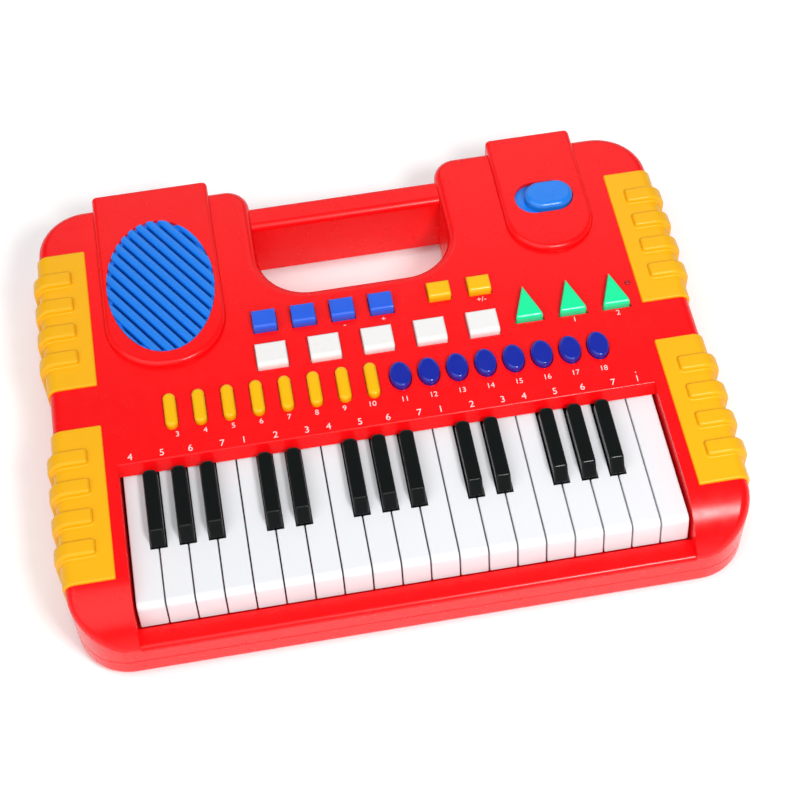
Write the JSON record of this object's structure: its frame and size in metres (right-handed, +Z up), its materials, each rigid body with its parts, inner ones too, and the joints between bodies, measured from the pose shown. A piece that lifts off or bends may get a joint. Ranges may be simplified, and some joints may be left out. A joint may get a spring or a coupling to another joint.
{
  "type": "toy keyboard",
  "caption": "Child's electronic toy keyboard with carrying handle: pivoting keys, push buttons, slide switch, slatted speaker grille and side bumpers.",
  "frame": {"origin": "middle of the footprint, on the table under the feet", "axes": "+X along the keys to the player's right, +Y from the player to the handle, +Z up"},
  "size_m": [0.3854, 0.298, 0.0615],
  "materials": {
    "case_red": "glossy moulded red",
    "bumper_yellow": "glossy moulded yellow",
    "grille_blue": "glossy moulded sky blue",
    "key_white": "glossy moulded white",
    "key_black": "glossy moulded black",
    "button_white": "glossy moulded white",
    "button_blue": "glossy moulded blue",
    "button_yellow": "glossy moulded yellow",
    "button_green": "glossy moulded green",
    "pill_yellow": "glossy moulded yellow",
    "oval_blue": "glossy moulded dark blue",
    "steel": "plain drawn steel",
    "speaker_black": "dull black",
    "board_green": "green laminate",
    "contact_rubber": "pale silicone rubber"
  },
  "bodies": {
    "case": {"top_case": "case_red", "bottom_case": "case_red", "battery_door": "case_red", "case_screws": "steel", "left_bumpers": "bumper_yellow", "right_bumpers": "bumper_yellow", "speaker_grille": "grille_blue", "speaker": "speaker_black", "circuit_board": "board_green", "contact_strip": "contact_rubber", "key_pivot_rod": "steel"},
    "white_key_01": {"white_key_01": "key_white"},
    "white_key_02": {"white_key_02": "key_white"},
    "white_key_03": {"white_key_03": "key_white"},
    "white_key_04": {"white_key_04": "key_white"},
    "white_key_05": {"white_key_05": "key_white"},
    "white_key_06": {"white_key_06": "key_white"},
    "white_key_07": {"white_key_07": "key_white"},
    "white_key_08": {"white_key_08": "key_white"},
    "white_key_09": {"white_key_09": "key_white"},
    "white_key_10": {"white_key_10": "key_white"},
    "white_key_11": {"white_key_11": "key_white"},
    "white_key_12": {"white_key_12": "key_white"},
    "white_key_13": {"white_key_13": "key_white"},
    "white_key_14": {"white_key_14": "key_white"},
    "white_key_15": {"white_key_15": "key_white"},
    "white_key_16": {"white_key_16": "key_white"},
    "white_key_17": {"white_key_17": "key_white"},
    "white_key_18": {"white_key_18": "key_white"},
    "white_key_19": {"white_key_19": "key_white"},
    "black_key_01": {"black_key_01": "key_black"},
    "black_key_02": {"black_key_02": "key_black"},
    "black_key_03": {"black_key_03": "key_black"},
    "black_key_04": {"black_key_04": "key_black"},
    "black_key_05": {"black_key_05": "key_black"},
    "black_key_06": {"black_key_06": "key_black"},
    "black_key_07": {"black_key_07": "key_black"},
    "black_key_08": {"black_key_08": "key_black"},
    "black_key_09": {"black_key_09": "key_black"},
    "black_key_10": {"black_key_10": "key_black"},
    "black_key_11": {"black_key_11": "key_black"},
    "black_key_12": {"black_key_12": "key_black"},
    "black_key_13": {"black_key_13": "key_black"},
    "white_button_1": {"white_button_1": "button_white"},
    "white_button_2": {"white_button_2": "button_white"},
    "white_button_3": {"white_button_3": "button_white"},
    "white_button_4": {"white_button_4": "button_white"},
    "white_button_5": {"white_button_5": "button_white"},
    "blue_button_1": {"blue_button_1": "button_blue"},
    "blue_button_2": {"blue_button_2": "button_blue"},
    "blue_button_3": {"blue_button_3": "button_blue"},
    "blue_button_4": {"blue_button_4": "button_blue"},
    "yellow_button_1": {"yellow_button_1": "button_yellow"},
    "yellow_button_2": {"yellow_button_2": "button_yellow"},
    "green_button_1": {"green_button_1": "button_green"},
    "green_button_2": {"green_button_2": "button_green"},
    "green_button_3": {"green_button_3": "button_green"},
    "pill_button_strip": {"pill_button_strip": "pill_yellow"},
    "oval_button_strip": {"oval_button_strip": "oval_blue"},
    "mode_switch": {"mode_switch": "grille_blue"}
  },
  "joints": [
    {"name": "white_key_01_pivot", "type": "hinge", "parent": "case", "child": "white_key_01", "pos_m": [0, -0.038, 0.036], "axis": [1, 0, 0], "range_deg": [0, 3], "stiffness_Nm_per_rad": 0.3, "springref_deg": -5.73},
    {"name": "white_key_02_pivot", "type": "hinge", "parent": "case", "child": "white_key_02", "pos_m": [0, -0.038, 0.036], "axis": [1, 0, 0], "range_deg": [0, 3], "stiffness_Nm_per_rad": 0.3, "springref_deg": -5.73},
    {"name": "white_key_03_pivot", "type": "hinge", "parent": "case", "child": "white_key_03", "pos_m": [0, -0.038, 0.036], "axis": [1, 0, 0], "range_deg": [0, 3], "stiffness_Nm_per_rad": 0.3, "springref_deg": -5.73},
    {"name": "white_key_04_pivot", "type": "hinge", "parent": "case", "child": "white_key_04", "pos_m": [0, -0.038, 0.036], "axis": [1, 0, 0], "range_deg": [0, 3], "stiffness_Nm_per_rad": 0.3, "springref_deg": -5.73},
    {"name": "white_key_05_pivot", "type": "hinge", "parent": "case", "child": "white_key_05", "pos_m": [0, -0.038, 0.036], "axis": [1, 0, 0], "range_deg": [0, 3], "stiffness_Nm_per_rad": 0.3, "springref_deg": -5.73},
    {"name": "white_key_06_pivot", "type": "hinge", "parent": "case", "child": "white_key_06", "pos_m": [0, -0.038, 0.036], "axis": [1, 0, 0], "range_deg": [0, 3], "stiffness_Nm_per_rad": 0.3, "springref_deg": -5.73},
    {"name": "white_key_07_pivot", "type": "hinge", "parent": "case", "child": "white_key_07", "pos_m": [0, -0.038, 0.036], "axis": [1, 0, 0], "range_deg": [0, 3], "stiffness_Nm_per_rad": 0.3, "springref_deg": -5.73},
    {"name": "white_key_08_pivot", "type": "hinge", "parent": "case", "child": "white_key_08", "pos_m": [0, -0.038, 0.036], "axis": [1, 0, 0], "range_deg": [0, 3], "stiffness_Nm_per_rad": 0.3, "springref_deg": -5.73},
    {"name": "white_key_09_pivot", "type": "hinge", "parent": "case", "child": "white_key_09", "pos_m": [0, -0.038, 0.036], "axis": [1, 0, 0], "range_deg": [0, 3], "stiffness_Nm_per_rad": 0.3, "springref_deg": -5.73},
    {"name": "white_key_10_pivot", "type": "hinge", "parent": "case", "child": "white_key_10", "pos_m": [0, -0.038, 0.036], "axis": [1, 0, 0], "range_deg": [0, 3], "stiffness_Nm_per_rad": 0.3, "springref_deg": -5.73},
    {"name": "white_key_11_pivot", "type": "hinge", "parent": "case", "child": "white_key_11", "pos_m": [0, -0.038, 0.036], "axis": [1, 0, 0], "range_deg": [0, 3], "stiffness_Nm_per_rad": 0.3, "springref_deg": -5.73},
    {"name": "white_key_12_pivot", "type": "hinge", "parent": "case", "child": "white_key_12", "pos_m": [0, -0.038, 0.036], "axis": [1, 0, 0], "range_deg": [0, 3], "stiffness_Nm_per_rad": 0.3, "springref_deg": -5.73},
    {"name": "white_key_13_pivot", "type": "hinge", "parent": "case", "child": "white_key_13", "pos_m": [0, -0.038, 0.036], "axis": [1, 0, 0], "range_deg": [0, 3], "stiffness_Nm_per_rad": 0.3, "springref_deg": -5.73},
    {"name": "white_key_14_pivot", "type": "hinge", "parent": "case", "child": "white_key_14", "pos_m": [0, -0.038, 0.036], "axis": [1, 0, 0], "range_deg": [0, 3], "stiffness_Nm_per_rad": 0.3, "springref_deg": -5.73},
    {"name": "white_key_15_pivot", "type": "hinge", "parent": "case", "child": "white_key_15", "pos_m": [0, -0.038, 0.036], "axis": [1, 0, 0], "range_deg": [0, 3], "stiffness_Nm_per_rad": 0.3, "springref_deg": -5.73},
    {"name": "white_key_16_pivot", "type": "hinge", "parent": "case", "child": "white_key_16", "pos_m": [0, -0.038, 0.036], "axis": [1, 0, 0], "range_deg": [0, 3], "stiffness_Nm_per_rad": 0.3, "springref_deg": -5.73},
    {"name": "white_key_17_pivot", "type": "hinge", "parent": "case", "child": "white_key_17", "pos_m": [0, -0.038, 0.036], "axis": [1, 0, 0], "range_deg": [0, 3], "stiffness_Nm_per_rad": 0.3, "springref_deg": -5.73},
    {"name": "white_key_18_pivot", "type": "hinge", "parent": "case", "child": "white_key_18", "pos_m": [0, -0.038, 0.036], "axis": [1, 0, 0], "range_deg": [0, 3], "stiffness_Nm_per_rad": 0.3, "springref_deg": -5.73},
    {"name": "white_key_19_pivot", "type": "hinge", "parent": "case", "child": "white_key_19", "pos_m": [0, -0.038, 0.036], "axis": [1, 0, 0], "range_deg": [0, 3], "stiffness_Nm_per_rad": 0.3, "springref_deg": -5.73},
    {"name": "black_key_01_pivot", "type": "hinge", "parent": "case", "child": "black_key_01", "pos_m": [0, -0.038, 0.036], "axis": [1, 0, 0], "range_deg": [0, 3.5], "stiffness_Nm_per_rad": 0.3, "springref_deg": -5.73},
    {"name": "black_key_02_pivot", "type": "hinge", "parent": "case", "child": "black_key_02", "pos_m": [0, -0.038, 0.036], "axis": [1, 0, 0], "range_deg": [0, 3.5], "stiffness_Nm_per_rad": 0.3, "springref_deg": -5.73},
    {"name": "black_key_03_pivot", "type": "hinge", "parent": "case", "child": "black_key_03", "pos_m": [0, -0.038, 0.036], "axis": [1, 0, 0], "range_deg": [0, 3.5], "stiffness_Nm_per_rad": 0.3, "springref_deg": -5.73},
    {"name": "black_key_04_pivot", "type": "hinge", "parent": "case", "child": "black_key_04", "pos_m": [0, -0.038, 0.036], "axis": [1, 0, 0], "range_deg": [0, 3.5], "stiffness_Nm_per_rad": 0.3, "springref_deg": -5.73},
    {"name": "black_key_05_pivot", "type": "hinge", "parent": "case", "child": "black_key_05", "pos_m": [0, -0.038, 0.036], "axis": [1, 0, 0], "range_deg": [0, 3.5], "stiffness_Nm_per_rad": 0.3, "springref_deg": -5.73},
    {"name": "black_key_06_pivot", "type": "hinge", "parent": "case", "child": "black_key_06", "pos_m": [0, -0.038, 0.036], "axis": [1, 0, 0], "range_deg": [0, 3.5], "stiffness_Nm_per_rad": 0.3, "springref_deg": -5.73},
    {"name": "black_key_07_pivot", "type": "hinge", "parent": "case", "child": "black_key_07", "pos_m": [0, -0.038, 0.036], "axis": [1, 0, 0], "range_deg": [0, 3.5], "stiffness_Nm_per_rad": 0.3, "springref_deg": -5.73},
    {"name": "black_key_08_pivot", "type": "hinge", "parent": "case", "child": "black_key_08", "pos_m": [0, -0.038, 0.036], "axis": [1, 0, 0], "range_deg": [0, 3.5], "stiffness_Nm_per_rad": 0.3, "springref_deg": -5.73},
    {"name": "black_key_09_pivot", "type": "hinge", "parent": "case", "child": "black_key_09", "pos_m": [0, -0.038, 0.036], "axis": [1, 0, 0], "range_deg": [0, 3.5], "stiffness_Nm_per_rad": 0.3, "springref_deg": -5.73},
    {"name": "black_key_10_pivot", "type": "hinge", "parent": "case", "child": "black_key_10", "pos_m": [0, -0.038, 0.036], "axis": [1, 0, 0], "range_deg": [0, 3.5], "stiffness_Nm_per_rad": 0.3, "springref_deg": -5.73},
    {"name": "black_key_11_pivot", "type": "hinge", "parent": "case", "child": "black_key_11", "pos_m": [0, -0.038, 0.036], "axis": [1, 0, 0], "range_deg": [0, 3.5], "stiffness_Nm_per_rad": 0.3, "springref_deg": -5.73},
    {"name": "black_key_12_pivot", "type": "hinge", "parent": "case", "child": "black_key_12", "pos_m": [0, -0.038, 0.036], "axis": [1, 0, 0], "range_deg": [0, 3.5], "stiffness_Nm_per_rad": 0.3, "springref_deg": -5.73},
    {"name": "black_key_13_pivot", "type": "hinge", "parent": "case", "child": "black_key_13", "pos_m": [0, -0.038, 0.036], "axis": [1, 0, 0], "range_deg": [0, 3.5], "stiffness_Nm_per_rad": 0.3, "springref_deg": -5.73},
    {"name": "white_button_1_press", "type": "slide", "parent": "case", "child": "white_button_1", "axis": [0, 0, -1], "range_m": [0, 0.002], "stiffness_N_per_m": 150, "springref_m": -0.003},
    {"name": "white_button_2_press", "type": "slide", "parent": "case", "child": "white_button_2", "axis": [0, 0, -1], "range_m": [0, 0.002], "stiffness_N_per_m": 150, "springref_m": -0.003},
    {"name": "white_button_3_press", "type": "slide", "parent": "case", "child": "white_button_3", "axis": [0, 0, -1], "range_m": [0, 0.002], "stiffness_N_per_m": 150, "springref_m": -0.003},
    {"name": "white_button_4_press", "type": "slide", "parent": "case", "child": "white_button_4", "axis": [0, 0, -1], "range_m": [0, 0.002], "stiffness_N_per_m": 150, "springref_m": -0.003},
    {"name": "white_button_5_press", "type": "slide", "parent": "case", "child": "white_button_5", "axis": [0, 0, -1], "range_m": [0, 0.002], "stiffness_N_per_m": 150, "springref_m": -0.003},
    {"name": "blue_button_1_press", "type": "slide", "parent": "case", "child": "blue_button_1", "axis": [0, 0, -1], "range_m": [0, 0.002], "stiffness_N_per_m": 150, "springref_m": -0.003},
    {"name": "blue_button_2_press", "type": "slide", "parent": "case", "child": "blue_button_2", "axis": [0, 0, -1], "range_m": [0, 0.002], "stiffness_N_per_m": 150, "springref_m": -0.003},
    {"name": "blue_button_3_press", "type": "slide", "parent": "case", "child": "blue_button_3", "axis": [0, 0, -1], "range_m": [0, 0.002], "stiffness_N_per_m": 150, "springref_m": -0.003},
    {"name": "blue_button_4_press", "type": "slide", "parent": "case", "child": "blue_button_4", "axis": [0, 0, -1], "range_m": [0, 0.002], "stiffness_N_per_m": 150, "springref_m": -0.003},
    {"name": "yellow_button_1_press", "type": "slide", "parent": "case", "child": "yellow_button_1", "axis": [0, 0, -1], "range_m": [0, 0.002], "stiffness_N_per_m": 150, "springref_m": -0.003},
    {"name": "yellow_button_2_press", "type": "slide", "parent": "case", "child": "yellow_button_2", "axis": [0, 0, -1], "range_m": [0, 0.002], "stiffness_N_per_m": 150, "springref_m": -0.003},
    {"name": "green_button_1_press", "type": "slide", "parent": "case", "child": "green_button_1", "axis": [0, 0, -1], "range_m": [0, 0.002], "stiffness_N_per_m": 150, "springref_m": -0.003},
    {"name": "green_button_2_press", "type": "slide", "parent": "case", "child": "green_button_2", "axis": [0, 0, -1], "range_m": [0, 0.002], "stiffness_N_per_m": 150, "springref_m": -0.003},
    {"name": "green_button_3_press", "type": "slide", "parent": "case", "child": "green_button_3", "axis": [0, 0, -1], "range_m": [0, 0.002], "stiffness_N_per_m": 150, "springref_m": -0.003},
    {"name": "pill_button_strip_press", "type": "slide", "parent": "case", "child": "pill_button_strip", "axis": [0, 0, -1], "range_m": [0, 0.002], "stiffness_N_per_m": 250, "springref_m": -0.003},
    {"name": "oval_button_strip_press", "type": "slide", "parent": "case", "child": "oval_button_strip", "axis": [0, 0, -1], "range_m": [0, 0.002], "stiffness_N_per_m": 250, "springref_m": -0.003},
    {"name": "mode_switch_slide", "type": "slide", "parent": "case", "child": "mode_switch", "axis": [-1, 0, 0], "range_m": [0, 0.0055]}
  ]
}
